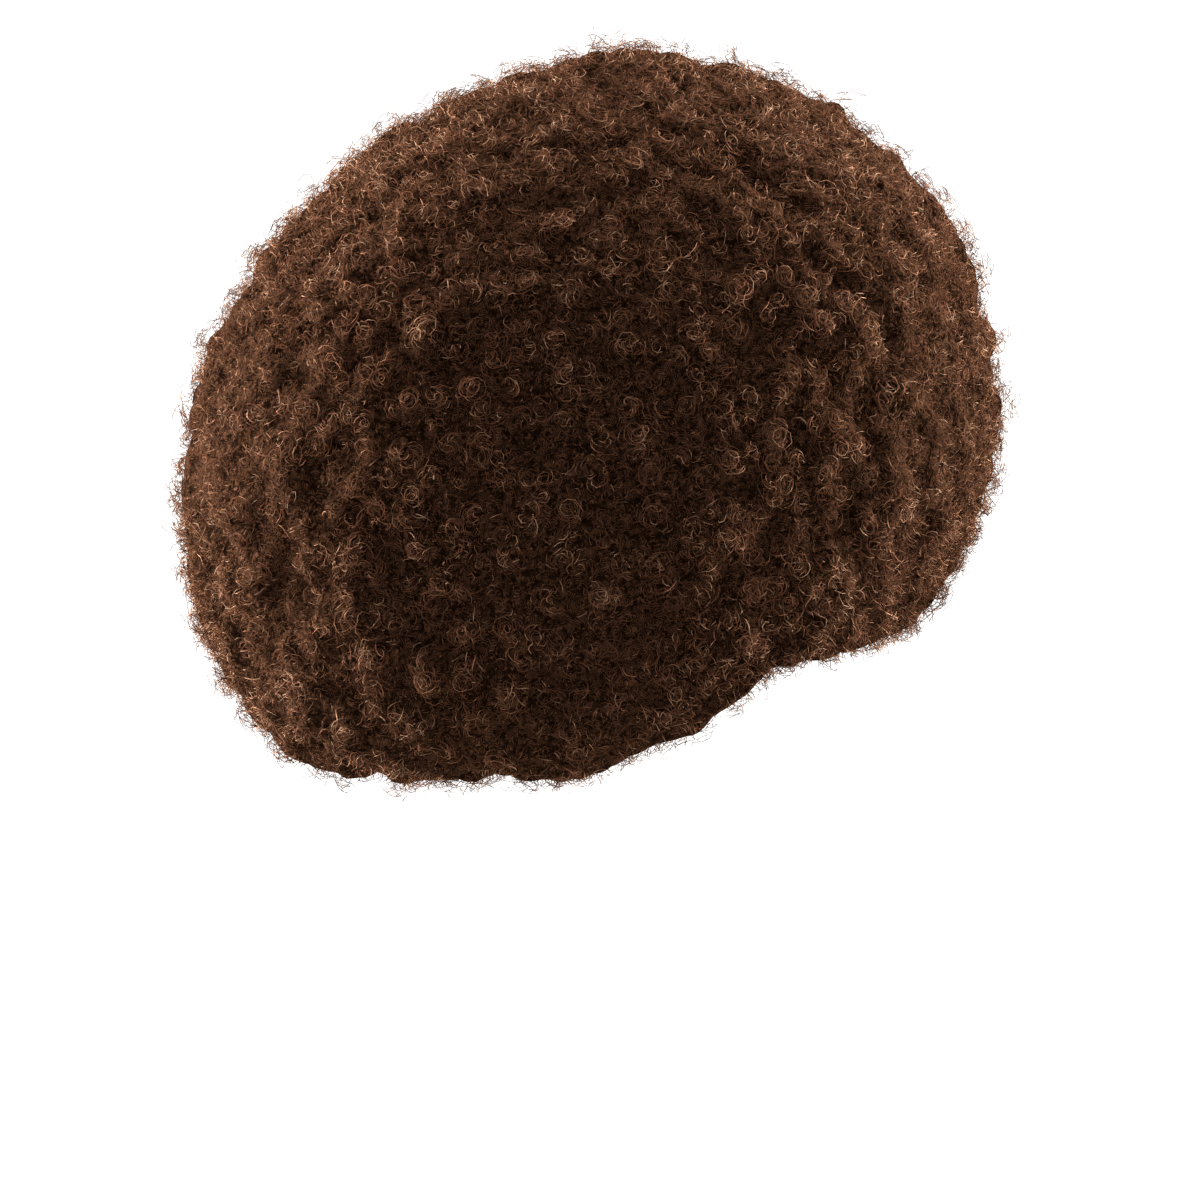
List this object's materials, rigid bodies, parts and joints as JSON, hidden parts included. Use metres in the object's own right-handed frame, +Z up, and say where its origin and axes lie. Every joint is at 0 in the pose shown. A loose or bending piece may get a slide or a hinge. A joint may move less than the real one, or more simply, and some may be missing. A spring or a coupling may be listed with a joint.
{
  "type": "curly wig",
  "caption": "Large round afro wig: a close net cap covered by a deep, lumpy ball of tightly coiled brown hair, open below for the head, face and neck.",
  "frame": {"origin": "middle of the head opening at the hat line: mid forehead, just over the ears and round the back of the skull", "axes": "+Z up to the crown, -Y the way the face looks, +X to the wearer's left"},
  "size_m": [0.3635, 0.3963, 0.3345],
  "materials": {
    "net_cap": "matt stretch net",
    "curly_hair": "soft satin fibre"
  },
  "bodies": {
    "root": {"wig_cap": "net_cap", "crown_curls": "curly_hair", "front_curls": "curly_hair", "right_curls": "curly_hair", "left_curls": "curly_hair", "back_curls": "curly_hair", "nape_curls": "curly_hair"}
  },
  "joints": []
}
